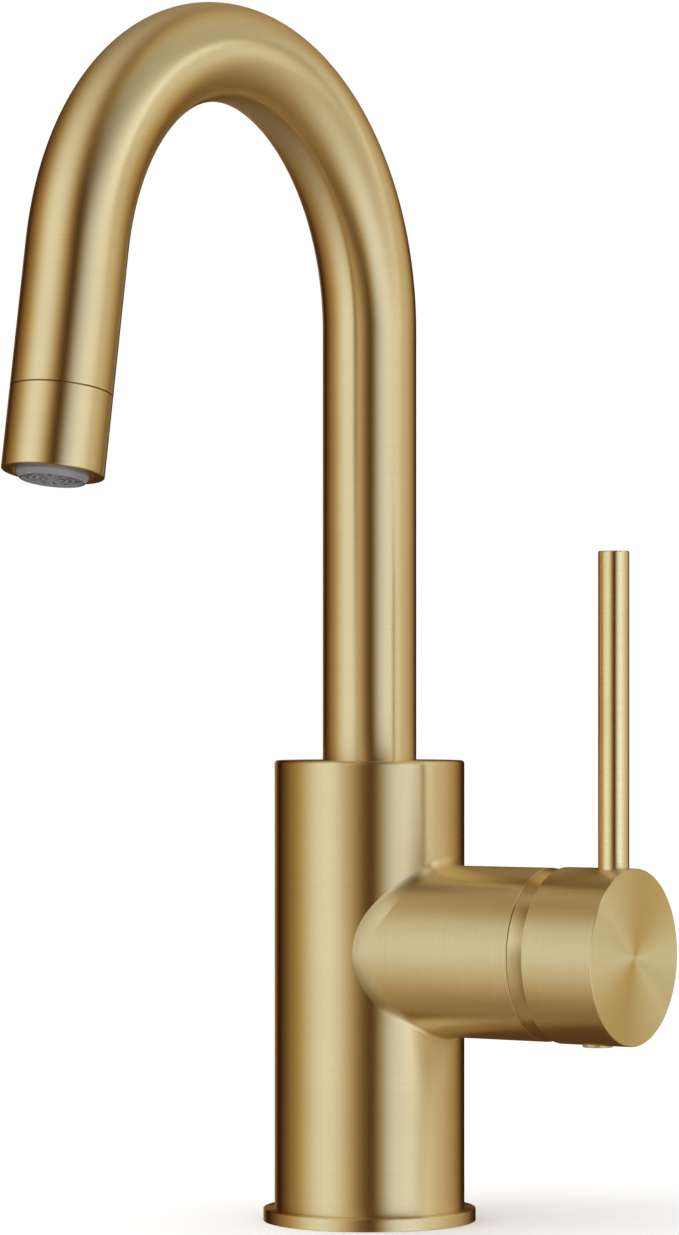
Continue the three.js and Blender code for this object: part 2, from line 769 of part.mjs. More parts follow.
const tip = new THREE.Group();
tip.position.copy(new GooseneckCurve().getPoint(1));
tip.position.addScaledVector(new GooseneckCurve().getTangent(1), TIP_SEAM);
tip.rotation.x = BEND_ANGLE;
spout.add(tip);
addAerator(tip);

export default faucet;
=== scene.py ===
import json
import math

import bmesh
import bpy
import numpy as np
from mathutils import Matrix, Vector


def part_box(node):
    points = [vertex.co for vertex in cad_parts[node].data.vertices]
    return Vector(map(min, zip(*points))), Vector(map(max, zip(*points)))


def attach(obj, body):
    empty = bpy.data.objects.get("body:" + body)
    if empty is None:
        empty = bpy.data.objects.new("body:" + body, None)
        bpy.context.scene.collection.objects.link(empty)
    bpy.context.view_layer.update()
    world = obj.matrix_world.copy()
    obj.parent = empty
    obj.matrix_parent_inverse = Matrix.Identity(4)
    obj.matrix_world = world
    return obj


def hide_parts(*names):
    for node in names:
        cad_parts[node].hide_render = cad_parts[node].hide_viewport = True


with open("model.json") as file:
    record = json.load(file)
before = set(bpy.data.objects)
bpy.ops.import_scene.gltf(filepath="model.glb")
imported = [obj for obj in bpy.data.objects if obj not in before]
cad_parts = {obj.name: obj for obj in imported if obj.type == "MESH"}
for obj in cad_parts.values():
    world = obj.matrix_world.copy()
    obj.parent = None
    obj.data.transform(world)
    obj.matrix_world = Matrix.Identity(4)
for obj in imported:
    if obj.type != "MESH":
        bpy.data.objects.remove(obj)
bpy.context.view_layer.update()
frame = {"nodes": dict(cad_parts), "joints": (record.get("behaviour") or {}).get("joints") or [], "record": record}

# The visual model of a deck-mounted gooseneck faucet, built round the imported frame. Metres, +Z up.
# At rest the spout points along -Y, and the side arm and its handle along +X.

MM = 0.001

# ---- Dimensions, from the frame where it has them ---------------------------------------------

record = frame["record"]
joints = {joint["name"]: joint for joint in frame["joints"]}

PIVOT_X, _, ARM_Z = joints["temperature"]["pos_m"]
PIVOT = (PIVOT_X, 0, ARM_Z)  # the CAP_, LEVER_ and PLUG_ places are measured from it
body_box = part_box("body_shell")
flange_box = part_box("base_flange")
tube_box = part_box("spout_tube")
cap_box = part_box("handle_cap")
lever_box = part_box("lever_rod")
plug_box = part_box("screw_plug")

BODY_R = body_box[1].y
BODY_TOP = body_box[1].z
BODY_FOOT = flange_box[1].z
BODY_BORE_R = 23.1 * MM
BODY_PLATE = 5.0 * MM
ARM_R = 23.0 * MM
ARM_END = body_box[1].x
ARM_BORE_R = 18.0 * MM
ARM_THREAD_R = 19.9 * MM
ARM_THREAD_START = 47.4 * MM
ARM_FILLET = (2.6 * MM, 10.5 * MM, 0.8 * MM)  # above the arm, at its sides and below it

FLANGE_R = flange_box[1].y
FLANGE_TOP = flange_box[1].z
FLANGE_HOLE_R = 17.0 * MM

TUBE_R = tube_box[1].x
TUBE_BORE_R = TUBE_R - 1.2 * MM
TUBE_FOOT = tube_box[0].z
RISER_TOP = 240.9 * MM
BEND_R = 66.85 * MM
BEND = math.radians(170)
LEG = 37.0 * MM
RISER = RISER_TOP - TUBE_FOOT
BEND_END = RISER + BEND_R * BEND
SPOUT_LENGTH = BEND_END + LEG
TIP_LENGTH = 20.4 * MM
SEAM = 0.15 * MM  # half the gap between the tube and the aerator housing

DOME_R = 23.85 * MM
DOME_WALL = 1.25 * MM
DOME_OPENING = math.radians(41)

CAP_R = cap_box[1].y
CAP_START = cap_box[0].x - PIVOT_X
CAP_END = cap_box[1].x - PIVOT_X
CAP_HOLLOW_R = 24.6 * MM

LEVER_R = lever_box[1].y
LEVER_X = (lever_box[0].x + lever_box[1].x) / 2 - PIVOT_X
LEVER_FOOT = lever_box[0].z - ARM_Z
LEVER_TOP = lever_box[1].z - ARM_Z
PLUG_R = plug_box[1].y
PLUG_X = (plug_box[0].x + plug_box[1].x) / 2 - PIVOT_X
PLUG_FOOT = plug_box[0].z - ARM_Z
PLUG_HEAD = plug_box[1].z - ARM_Z

# ---- Camera -----------------------------------------------------------------------------------

VIEW_AZIMUTH = math.radians(32.75)
VIEW_DISTANCE = 1.1746
VIEW_HEIGHT = 0.140
LENS = 126.2
SHIFT_X, SHIFT_Y = -0.0243, 0.0696

camera_data = bpy.data.cameras.new("camera")
camera_data.lens = LENS
camera_data.shift_x = SHIFT_X
camera_data.shift_y = SHIFT_Y
camera = bpy.data.objects.new("camera", camera_data)
camera.location = (
    VIEW_DISTANCE * math.sin(VIEW_AZIMUTH),
    -VIEW_DISTANCE * math.cos(VIEW_AZIMUTH),
    VIEW_HEIGHT,
)
camera.rotation_euler = (math.pi / 2, 0, VIEW_AZIMUTH)
bpy.context.scene.collection.objects.link(camera)
bpy.context.scene.camera = camera
bpy.context.scene.view_settings.view_transform = "Standard"


# ---- Node helpers -----------------------------------------------------------------------------


class Nodes:
    """Short calls that add nodes to one tree. An input is given as a socket or as a plain value."""

    def __init__(self, tree):
        self.tree = tree

    def add(self, kind, **settings):
        node = self.tree.nodes.new(kind)
        for name, value in settings.items():
            setattr(node, name, value)
        return node

    def feed(self, socket, value):
        if isinstance(value, bpy.types.NodeSocket):
            self.tree.links.new(value, socket)
        else:
            socket.default_value = value

    def fed(self, node, *values):
        """Feeds a node's first inputs and gives the node back."""
        for i, value in enumerate(values):
            self.feed(node.inputs[i], value)
        return node

    def math(self, operation, *values):
        return self.fed(self.add("ShaderNodeMath", operation=operation), *values).outputs[0]

    def scaled(self, vector, factors):
        node = self.add("ShaderNodeVectorMath", operation="MULTIPLY")
        return self.fed(node, vector, factors).outputs[0]

    def dot(self, vector, direction):
        node = self.add("ShaderNodeVectorMath", operation="DOT_PRODUCT")
        return self.fed(node, vector, direction).outputs["Value"]

    def ramp(self, value, low, high, to_low=0.0, to_high=1.0, smooth=True):
        kind = "SMOOTHSTEP" if smooth else "LINEAR"
        node = self.add("ShaderNodeMapRange", interpolation_type=kind)
        for name, given in (
            ("Value", value),
            ("From Min", low),
            ("From Max", high),
            ("To Min", to_low),
            ("To Max", to_high),
        ):
            self.feed(node.inputs[name], given)
        return node.outputs[0]

    def mean(self, a, share, b):
        """A share of a and the rest of b."""
        rest = self.math("MULTIPLY", b, 1.0 - share)
        return self.math("ADD", self.math("MULTIPLY", a, share), rest)

    def mix(self, factor, a, b):
        """Between two colours, given as red, green and blue."""
        node = self.add("ShaderNodeMix", data_type="RGBA")
        self.feed(node.inputs["Factor"], factor)
        self.feed(node.inputs[6], (*a, 1.0))
        self.feed(node.inputs[7], (*b, 1.0))
        return node.outputs[2]

    def noise(self, vector, scale=1.0, detail=2.0, roughness=0.5):
        node = self.add("ShaderNodeTexNoise")
        self.feed(node.inputs["Vector"], vector)
        self.feed(node.inputs["Scale"], scale)
        self.feed(node.inputs["Detail"], detail)
        self.feed(node.inputs["Roughness"], roughness)
        return node.outputs[0]

    def mix_shader(self, factor, a, b):
        node = self.add("ShaderNodeMixShader")
        return self.fed(node, factor, a, b).outputs[0]

    def background(self, colour, strength=1.0):
        return self.fed(self.add("ShaderNodeBackground"), colour, strength).outputs[0]

    def bump(self, height, strength, distance):
        node = self.add("ShaderNodeBump")
        self.feed(node.inputs["Strength"], strength)
        self.feed(node.inputs["Distance"], distance)
        self.feed(node.inputs["Height"], height)
        return node.outputs[0]


# ---- Studio -----------------------------------------------------------------------------------

# What metal reflects: soft lights round the object. Bearings are in degrees to the right of the
# view, so 0 is towards the camera, and heights are in degrees above the horizon. Each light is its
# four bearings (where its glow starts, is full, starts to fade and ends), its brightness, and how
# far above and below the horizon it starts to fade and ends. ALL_HIGH is for no such ends.
ALL_HIGH = None
STUDIO_LIGHTS = [
    (-136, -74, -58, -6, 0.46, ALL_HIGH),
    (-139, -133, -60, -20, 0.05, ALL_HIGH),
    (-101, -56, -54, -6, 0.70, ALL_HIGH),
    (2, 30, 44, 73, 1.16, ALL_HIGH),
    (2, 36, 64, 134, 0.69, ALL_HIGH),
    (50, 90, 120, 145, 0.34, (2.0, 15.0)),
    (60, 90, 140, 153, 0.05, ALL_HIGH),
    (-190, -185, -163, -150, 0.27, (3.0, 14.0)),
]
AMBIENT = 0.007
# The lights dim with height: each fall is two heights, and the share of the light left at each.
FALLS_ON_LEFT = [(5.0, 50.0, 1.0, 0.72), (42.0, 60.0, 1.0, 0.45), (-58.0, -5.0, 0.18, 1.0)]
FALLS_ON_RIGHT = [(5.0, 60.0, 1.0, 0.70), (-72.0, -5.0, 0.18, 1.0)]
# A light's four bearings lean to the right by these degrees for each degree of height, up to the
# height LEAN_TO. Above it they lean back, by LEAN_BACK - 1 times as much.
LEAN_ON_LEFT = (0.0, 0.0, 0.9, 1.1)
LEAN_ON_RIGHT = (3.2, 3.0, 2.2, 1.0)
LEAN_TO, LEAN_BACK = 20.0, 1.4
# The floor's own glow, which ends between two heights.
FLOOR_GLOW_TO, FLOOR_GLOW_END, FLOOR_GLOW = -26.0, -14.0, 0.035
# Round soft lights: bearing, height, how far from its middle each starts to fade and ends, and its
# brightness.
ROUND_LIGHTS = [
    (123.0, 36.0, 8.0, 44.0, 0.16),
    (144.0, 60.0, 8.0, 36.0, 0.34),
    (-88.0, 50.0, 8.0, 36.0, 0.20),
]
# Between these heights one soft light overhead takes over. A dark gap runs across it towards the
# bearing GAP_AT. It is darkest up to GAP_DARK degrees off its middle, where GAP_LEFT of the light
# is left, and it ends at GAP_END.
OVERHEAD_FROM, OVERHEAD_FULL, OVERHEAD = 50.0, 85.0, 0.56
GAP_AT, GAP_DARK, GAP_END, GAP_LEFT = 8.0, 2.0, 24.0, 0.12
# The dim parts of the studio are warmer than the bright ones. For red, green and blue: a power and
# a gain, the least and the most of the glow that the curve may give, and what is added to it.
STUDIO_TINT = [
    (0.66, 0.94, 0.88, 1.65, 0.015),
    (1.00, 1.00, 1.00, 1.00, 0.0),
    (1.75, 0.95, 0.39, 1.06, 0.0),
]
# What the camera sees behind the object, and how strong the white is that lights all but metal.
WHITE = (1.0, 1.0, 1.0, 1.0)
SOFT_LIGHT = 1.04


def toward(bearing, height=0.0):
    """The direction of a bearing and a height."""
    turned, raised = math.radians(bearing) + VIEW_AZIMUTH, math.radians(height)
    flat = math.cos(raised)
    return (math.sin(turned) * flat, -math.cos(turned) * flat, math.sin(raised))


def standing_lights(n, bearing, height):
    """The glow of STUDIO_LIGHTS at a bearing and a height."""
    past_lean = n.math("MAXIMUM", n.math("SUBTRACT", height, LEAN_TO), 0.0)
    lean_by = n.math(
        "SUBTRACT", n.math("MAXIMUM", height, 0.0), n.math("MULTIPLY", past_lean, LEAN_BACK)
    )
    off_level = n.math("ABSOLUTE", height)
    glow = AMBIENT
    for *at, brightness, fade_out in STUDIO_LIGHTS:
        leans, falls = (
            (LEAN_ON_RIGHT, FALLS_ON_RIGHT) if at[0] > 0 else (LEAN_ON_LEFT, FALLS_ON_LEFT)
        )
        start, full, fade, end = [
            n.math("MULTIPLY_ADD", lean_by, lean, float(edge)) for lean, edge in zip(leans, at)
        ]
        rise, drop = n.ramp(bearing, start, full), n.ramp(bearing, fade, end, 1.0, 0.0)
        light = n.math("MULTIPLY", rise, drop)
        if fade_out:
            light = n.math("MULTIPLY", light, n.ramp(off_level, *fade_out, 1.0, 0.0))
        for fall in falls:
            light = n.math("MULTIPLY", light, n.ramp(height, *fall, smooth=False))
        glow = n.math("ADD", glow, n.math("MULTIPLY", light, brightness))
    return glow


def make_studio():
    """A world that the camera sees as white and metal sees as the studio, and that lights the rest
    softly."""
    world = bpy.data.worlds.new("studio")
    bpy.context.scene.world = world
    world.use_nodes = True
    world.cycles.sampling_method = "NONE"
    world.node_tree.nodes.clear()
    n = Nodes(world.node_tree)

    direction = n.add("ShaderNodeTexCoord").outputs["Generated"]
    x, y, z = n.fed(n.add("ShaderNodeSeparateXYZ"), direction).outputs
    turned = n.math("DEGREES", n.math("ARCTAN2", x, n.math("MULTIPLY", y, -1.0)))
    bearing = n.math("SUBTRACT", turned, math.degrees(VIEW_AZIMUTH))
    bearing = n.math("WRAP", bearing, 180.0, -180.0)
    height = n.math("DEGREES", n.math("ARCSINE", z))

    glow = standing_lights(n, bearing, height)
    floor_glow = n.ramp(height, FLOOR_GLOW_TO, FLOOR_GLOW_END, FLOOR_GLOW, 0.0)
    glow = n.math("ADD", glow, floor_glow)
    for light_bearing, light_height, full, end, brightness in ROUND_LIGHTS:
        cosine = n.dot(direction, toward(light_bearing, light_height))
        away = n.math("DEGREES", n.math("ARCCOSINE", cosine))
        glow = n.math("ADD", glow, n.ramp(away, full, end, brightness, 0.0))

    sine = n.dot(direction, toward(GAP_AT + 90.0))
    off_gap = n.math("ABSOLUTE", n.math("DEGREES", n.math("ARCSINE", sine)))
    overhead = n.ramp(off_gap, GAP_DARK, GAP_END, GAP_LEFT * OVERHEAD, OVERHEAD)
    near_top = n.ramp(height, OVERHEAD_FROM, OVERHEAD_FULL)
    glow = n.math("MULTIPLY", glow, n.math("SUBTRACT", 1.0, near_top))
    glow = n.math("ADD", glow, n.math("MULTIPLY", near_top, overhead))

    tint = n.add("ShaderNodeCombineColor")
    for i, (power, gain, least, most, extra) in enumerate(STUDIO_TINT):
        curve = n.math("MULTIPLY", n.math("POWER", glow, power), gain)
        curve = n.math("MAXIMUM", curve, n.math("MULTIPLY", glow, least))
        curve = n.math("MINIMUM", curve, n.math("MULTIPLY", glow, most))
        n.feed(tint.inputs[i], n.math("ADD", curve, extra))

    path = n.add("ShaderNodeLightPath")
    lit_by, reflected = n.background(WHITE, SOFT_LIGHT), n.background(tint.outputs[0])
    unseen = n.mix_shader(path.outputs["Is Glossy Ray"], lit_by, reflected)
    shown = n.mix_shader(path.outputs["Is Camera Ray"], unseen, n.background(WHITE))
    n.fed(n.add("ShaderNodeOutputWorld"), shown)


FLOOR_HALF = 6.0
FLOOR_WHITE = (0.97, 0.97, 0.97, 1.0)


def make_floor():
    """A matt white floor that is clear from below and that metal doesn't reflect."""
    material = bpy.data.materials.new("floor_white")
    material.use_nodes = True
    n = Nodes(material.node_tree)
    shader = material.node_tree.nodes["Principled BSDF"]
    shader.inputs["Base Color"].default_value = FLOOR_WHITE
    shader.inputs["Roughness"].default_value = 0.9
    shader.inputs["Specular IOR Level"].default_value = 0.0
    below = n.add("ShaderNodeNewGeometry").outputs["Backfacing"]
    clear = n.add("ShaderNodeBsdfTransparent").outputs[0]
    both = n.mix_shader(below, shader.outputs[0], clear)
    n.feed(material.node_tree.nodes["Material Output"].inputs[0], both)

    half = FLOOR_HALF
    mesh = bpy.data.meshes.new("floor")
    corners = [(-half, -half, 0), (half, -half, 0), (half, half, 0), (-half, half, 0)]
    mesh.from_pydata(corners, [], [(0, 1, 2, 3)])
    mesh.materials.append(material)
    floor = bpy.data.objects.new("floor", mesh)
    floor.visible_glossy = False
    bpy.context.scene.collection.objects.link(floor)


KEY_SIZE, KEY_POWER = 1.6, 9.0
KEY_PLACE = (-0.5, -1.4, 1.9)
KEY_TURN = (math.radians(38), 0, math.radians(-20))


def make_key_light():
    """A wide lamp in front, for the floor's shadow and the plastic. Metal doesn't reflect it."""
    data = bpy.data.lights.new("key_light", "AREA")
    data.shape = "DISK"
    data.size = KEY_SIZE
    data.energy = KEY_POWER
    key = bpy.data.objects.new("key_light", data)
    key.location = KEY_PLACE
    key.rotation_euler = KEY_TURN
    key.visible_glossy = False
    key.visible_camera = False
    bpy.context.scene.collection.objects.link(key)


# ---- Materials --------------------------------------------------------------------------------

BRUSH = "brush"  # per-corner coordinates in metres: along the profile, then round it
UV_MAP = "UVMap"
SHADES = (0.3, 0.7)  # where in its noise a material is all deep and all bright
FINE_LINES = (5200.0, 70.0, 70.0)  # waves a metre, in the order of BRUSH
COARSE_LINES = (1500.0, 26.0, 26.0)


def new_material(name, metallic):
    """A material, its nodes and its shader."""
    material = bpy.data.materials.new(name)
    material.use_nodes = True
    shader = material.node_tree.nodes["Principled BSDF"]
    shader.inputs["Metallic"].default_value = metallic
    return material, Nodes(material.node_tree), shader


def brushed_metal(name, bright, deep, roughness, line_bump, anisotropy):
    """Metal with fine lines round each turned surface. Its bright parts are the smoother ones."""
    material, n, shader = new_material(name, 1.0)
    shader.inputs["Anisotropic"].default_value = anisotropy

    brush = n.add("ShaderNodeAttribute", attribute_type="GEOMETRY", attribute_name=BRUSH)
    at = brush.outputs["Vector"]
    fine = n.noise(n.scaled(at, FINE_LINES), detail=3.0, roughness=0.7)
    coarse = n.noise(n.scaled(at, COARSE_LINES), roughness=0.6)
    lines = n.mean(fine, 0.55, coarse)
    shade = n.mean(lines, 0.7, n.noise(at, scale=42.0))

    n.feed(shader.inputs["Base Color"], n.mix(n.ramp(shade, *SHADES), deep, bright))
    low, high = roughness
    n.feed(shader.inputs["Roughness"], n.ramp(shade, *SHADES, high, low, smooth=False))
    n.feed(shader.inputs["Normal"], n.bump(lines, line_bump, distance=0.02 * MM))
    tangent = n.add("ShaderNodeTangent", direction_type="UV_MAP", uv_map=UV_MAP)
    n.feed(shader.inputs["Tangent"], tangent.outputs[0])
    return material


def moulded(name, bright, deep, roughness, metallic=0.0, grain=2600.0, bump_strength=0.15):
    """Plastic, rubber, ceramic or machined stock with a fine random grain."""
    material, n, shader = new_material(name, metallic)
    at = n.add("ShaderNodeTexCoord").outputs["Object"]
    fine = n.noise(at, grain, detail=3.0, roughness=0.6)
    shade = n.mean(fine, 0.5, n.noise(at, scale=160.0))
    n.feed(shader.inputs["Base Color"], n.mix(n.ramp(shade, *SHADES), deep, bright))
    n.feed(shader.inputs["Roughness"], n.ramp(shade, *SHADES, *roughness, smooth=False))
    n.feed(shader.inputs["Normal"], n.bump(fine, bump_strength, distance=0.03 * MM))
    return material


def machined(name, bright, deep, roughness):
    """Metal stock on a hidden piece, with a coarser grain than a moulding's."""
    return moulded(name, bright, deep, roughness, metallic=1.0, grain=900.0, bump_strength=0.3)


BRASS, BRASS_LINES = (0.87, 0.72, 0.45), (0.81, 0.66, 0.405)

# Each brass is its bright and deep colour, its least and most roughness, the strength of its
# lines' bump, and its anisotropy.
SATIN_BRASS = brushed_metal("satin_brass", BRASS, (0.825, 0.675, 0.415), (0.34, 0.36), 0.07, 1.0)
# The dome ring and the outlet's rim.
FINE_BRASS = brushed_metal("fine_brass", BRASS, BRASS_LINES, (0.28, 0.32), 0.10, 0.86)
# The thin lever.
ROD_BRASS = brushed_metal("rod_brass", BRASS, BRASS_LINES, (0.25, 0.27), 0.04, 1.0)
# The cap's flat face: the same spun brass, painted lighter and paler than the rest as a painted sheen for the
# light on the face.
FACE_BRASS_PAINTED_SHEEN = brushed_metal(
    "face_brass", (0.91, 0.81, 0.55), (0.86, 0.76, 0.50), (0.31, 0.33), 0.05, 0.91
)
# The face of the aerator insert.
DARK_PLASTIC = moulded("dark_plastic", (0.085, 0.085, 0.09), (0.06, 0.06, 0.065), (0.38, 0.55))
# One material for each slot in the record.
SLOT_MATERIALS = {
    "satin_brass": SATIN_BRASS,
    "raw_brass": machined("raw_brass", (0.80, 0.57, 0.24), (0.66, 0.45, 0.17), (0.28, 0.45)),
    "steel": machined("steel", (0.66, 0.67, 0.68), (0.52, 0.53, 0.55), (0.24, 0.4)),
    "grey_plastic": moulded("grey_plastic", (0.25, 0.25, 0.26), (0.18, 0.18, 0.19), (0.38, 0.55)),
    "white_plastic": moulded("white_plastic", (0.78, 0.78, 0.73), (0.68, 0.68, 0.62), (0.4, 0.55)),
    "rubber": moulded("rubber", (0.022, 0.022, 0.024), (0.012, 0.012, 0.013), (0.65, 0.85)),
    "ceramic": moulded("ceramic", (0.83, 0.80, 0.72), (0.76, 0.73, 0.65), (0.18, 0.3)),
    "plug_plastic": moulded(
        "plug_plastic", (0.62, 0.52, 0.33), (0.50, 0.41, 0.25), (0.25, 0.4), metallic=0.6
    ),
}

# ---- Surfaces with exact normals --------------------------------------------------------------

SHARP = math.radians(32)  # a corner of an outline that turns more than this stays an edge
ARC_STEP = math.radians(15)
LONGEST = 7.0 * MM  # an outline's straight parts are cut no longer than this
WELD = 0.002 * MM  # patches are joined where their points are this close
UV_METRES = 100 * MM  # what one unit of the UV map covers
NO_FILLET = (0.0, 0.0, 0.0)
CROWDING = 1.25  # how a panel's rings draw together towards the branch, with 1 for not at all
EIGHTH, QUARTER = math.radians(45), math.pi / 2  # of a turn
TINY = 1e-15


def grid(points, normals, uv, brush):
    """A patch: rows and columns of points, with what each corner there carries."""
    return {"points": points, "normals": normals, "uv": uv, "brush": brush}


def rounded(corners, closed=True):
    """An outline's [radius, height] corners, each with an optional third number, its rounding."""
    count = len(corners)
    out = []
    for i, corner in enumerate(corners):
        here = np.array(corner[:2], float)
        rounding = corner[2] if len(corner) > 2 else 0.0
        if rounding <= 0 or (not closed and i in (0, count - 1)):
            out.append(here)
            continue
        to_last = np.array(corners[i - 1][:2]) - here
        to_next = np.array(corners[(i + 1) % count][:2]) - here
        to_last /= np.linalg.norm(to_last)
        to_next /= np.linalg.norm(to_next)
        inside = math.acos(np.clip(to_last @ to_next, -1, 1))
        reach = rounding / math.tan(inside / 2)
        middle = to_last + to_next
        centre = here + middle / np.linalg.norm(middle) * rounding / math.sin(inside / 2)
        a = here + to_last * reach - centre
        b = here + to_next * reach - centre
        sweep = math.pi - inside
        steps = max(3, math.ceil(sweep / ARC_STEP))
        for k in range(steps + 1):
            t = k / steps
            mixed = (math.sin((1 - t) * sweep) * a + math.sin(t * sweep) * b) / math.sin(sweep)
            out.append(centre + mixed)
    return out


def sphere_arc(radius, start, end, steps):
    """[radius, height] points round a sphere about the origin, by angle off the axis."""
    angles = np.linspace(start, end, steps + 1)
    return [(radius * math.sin(a), radius * math.cos(a)) for a in angles]


def outline_strips(points, closed=True, longest=LONGEST, outward=None):
    """Cuts an outline at its sharp corners into (points, normals, distances along) strips. outward
    is 1 if the outline runs with its outside on the right, and -1 if on the left."""
    points = [np.array(p, float) for p in points]
    if outward is None:  # the sign of a closed outline's area tells
        loop = np.array(points)
        following = np.roll(loop, -1, axis=0)
        area = np.sum(loop[:, 0] * following[:, 1] - following[:, 0] * loop[:, 1])
        outward = 1.0 if area > 0 else -1.0
    dense = []
    ends = points[1:] + ([points[0]] if closed else [])
    for a, b in zip(points, ends):
        pieces = max(1, math.ceil(np.linalg.norm(b - a) / longest))
        dense += [(a + (b - a) * k / pieces) for k in range(pieces)]
    if not closed:
        dense.append(points[-1])
    count = len(dense)
    edges = [dense[(i + 1) % count] - dense[i] for i in range(count if closed else count - 1)]
    sizes = [np.linalg.norm(e) for e in edges]
    faces = [outward * np.array([e[1], -e[0]]) / s for e, s in zip(edges, sizes)]

    def turn(i):
        return math.acos(np.clip(faces[i - 1] @ faces[i], -1, 1))

    breaks = [i for i in range(1, len(edges)) if turn(i) > SHARP]
    if closed:
        first = breaks[0] if breaks else 0
        order = [(first + k) % count for k in range(count + 1)]
    else:
        order = list(range(count))
    strips = []
    run = [order[0]]
    for step in range(1, len(order)):
        run.append(order[step])
        last = step == len(order) - 1
        if last or turn(order[step] % len(edges)) > SHARP:
            strips.append(run)
            run = [order[step]]
    made = []
    travelled = 0.0
    for run in strips:
        own = [faces[i] for i in run[:-1]]
        length = [sizes[i] for i in run[:-1]]
        normals = [own[0]]
        for k in range(1, len(run) - 1):  # by length, so that an arc meets its flat tangentially
            joined = own[k - 1] * length[k - 1] ** 4 + own[k] * length[k] ** 4
            normals.append(joined / np.linalg.norm(joined))
        normals.append(own[-1])
        along = travelled + np.concatenate([[0.0], np.cumsum(length)])
        travelled = along[-1]
        made.append((np.array([dense[i] for i in run]), np.array(normals), along))
    return made


def revolve(strip, angles):
    """One strip turned about Z through the given angles."""
    points, normals, along = strip
    radius, height = points[:, :1], points[:, 1:]
    cos, sin = np.cos(angles)[None, :], np.sin(angles)[None, :]
    flat = np.ones_like(cos)
    place = np.stack([radius * cos, radius * sin, height * flat], -1)
    facing = np.stack([normals[:, :1] * cos, normals[:, :1] * sin, normals[:, 1:] * flat], -1)
    u = along[:, None] * flat
    v = angles[None, :] * radius.max() * np.ones_like(radius)
    brush = np.stack([u, place[..., 0], place[..., 1]], -1)
    return grid(place, facing, np.stack([u, v], -1), brush)


def full_turn(columns, start=0.0):
    """The angles of that many columns round, with the first one again at the end."""
    return start + np.linspace(0, 2 * math.pi, columns + 1)


def lathe(outline, columns=96, start=0.0, closed=True, longest=LONGEST, outward=None):
    """The patches of an outline turned all the way round Z."""
    angles = full_turn(columns, start)
    return [revolve(s, angles) for s in outline_strips(outline, closed, longest, outward)]


def ball_radius(fillet, phi):
    """The rolling ball's radius: fillet gives it above, at the sides and below."""
    top, side, foot = fillet
    small = foot + (top - foot) * (0.5 + 0.5 * np.cos(phi))
    return small + (side - small) * np.sin(phi) ** 6


def branch_curve(main_r, branch_r, fillet, phi):
    """The centre of a ball that rolls in the corner between two crossed cylinders.
    The main one stands along Z and the branch along X; phi turns about X from +Z towards +Y."""
    ball_r = ball_radius(fillet, phi)
    y = (branch_r + ball_r) * np.sin(phi)
    z = (branch_r + ball_r) * np.cos(phi)
    return np.stack([np.sqrt((main_r + ball_r) ** 2 - y**2), y, z], -1)


def main_patch(main_r, branch_r, fillet, half_angle, low, high, side, rings, sign=1.0):
    """The main cylinder's wall from a rectangle in to where the branch, or its fillet, meets it."""
    phi = full_turn(4 * side, -EIGHTH)
    ball = branch_curve(main_r, branch_r, fillet, phi)
    inner_angle = np.arctan2(ball[:, 1], ball[:, 0])
    inner_z = ball[:, 2]
    t = np.arange(side) / side
    zero = np.zeros(side)
    outer_angle = half_angle * np.concatenate([2 * t - 1, zero + 1, 1 - 2 * t, zero - 1, [-1.0]])
    outer_z = np.concatenate(
        [zero + high, high + (low - high) * t, zero + low, low + (high - low) * t, [high]]
    )
    share = (np.linspace(0, 1, rings + 1) ** CROWDING)[:, None]
    angle = inner_angle + (outer_angle - inner_angle) * share
    z = inner_z + (outer_z - inner_z) * share
    cos, sin = np.cos(angle), np.sin(angle)
    place = np.stack([main_r * cos, main_r * sin, z], -1)
    facing = sign * np.stack([cos, sin, 0 * z], -1)
    uv = np.stack([z, main_r * angle], -1)
    return grid(place, facing, uv, np.stack([z, main_r * cos, main_r * sin], -1))


def fillet_patch(main_r, branch_r, fillet, side, steps=10):
    """The blend that the rolling ball leaves between the two cylinders."""
    phi = full_turn(4 * side, -EIGHTH)
    ball = branch_curve(main_r, branch_r, fillet, phi)
    ball_r = ball_radius(fillet, phi)[:, None]
    to_main = -ball * [1, 1, 0] / (main_r + ball_r)
    to_branch = np.stack([0 * phi, -np.sin(phi), -np.cos(phi)], -1)
    sweep = np.arccos(np.clip((to_main * to_branch).sum(-1), -1, 1))[None, :, None]
    t = np.linspace(0, 1, steps + 1)[:, None, None]
    way = (np.sin((1 - t) * sweep) * to_main + np.sin(t * sweep) * to_branch) / np.sin(sweep)
    place = ball[None] + ball_r * way
    along = (t * sweep * ball_r)[..., 0]
    uv = np.stack([along, branch_r * phi[None, :] * np.ones_like(along)], -1)
    return grid(place, -way, uv, np.stack([along, place[..., 1], place[..., 2]], -1))


def branch_wall(main_r, branch_r, fillet, end, side, rows, sign=1.0):
    """The branch's wall, from its meeting with the main cylinder to the plane x = end."""
    phi = full_turn(4 * side, -EIGHTH)
    begin = branch_curve(main_r, branch_r, fillet, phi)[:, 0][None, :]
    x = begin + (end - begin) * np.linspace(0, 1, rows + 1)[:, None]
    flat = np.ones_like(x)
    sin, cos = np.sin(phi) * flat, np.cos(phi) * flat
    place = np.stack([x, branch_r * sin, branch_r * cos], -1)
    facing = sign * np.stack([0 * x, sin, cos], -1)
    uv = np.stack([x, branch_r * phi * flat], -1)
    return grid(place, facing, uv, place.copy())


def placed(patches, matrix, offset=(0, 0, 0)):
    """Patches turned by a 3 x 3 matrix and moved."""
    matrix, offset = np.array(matrix, float), np.array(offset, float)
    return [
        {**p, "points": p["points"] @ matrix.T + offset, "normals": p["normals"] @ matrix.T}
        for p in patches
    ]


TO_X = [[0, 0, 1], [0, 1, 0], [1, 0, 0]]  # a lathe's axis to +X, its angle 0 to +Z
TO_X_BELOW = [[0, 0, 1], [0, -1, 0], [-1, 0, 0]]  # the same, its angle 0 to -Z
UNTURNED = np.eye(3)


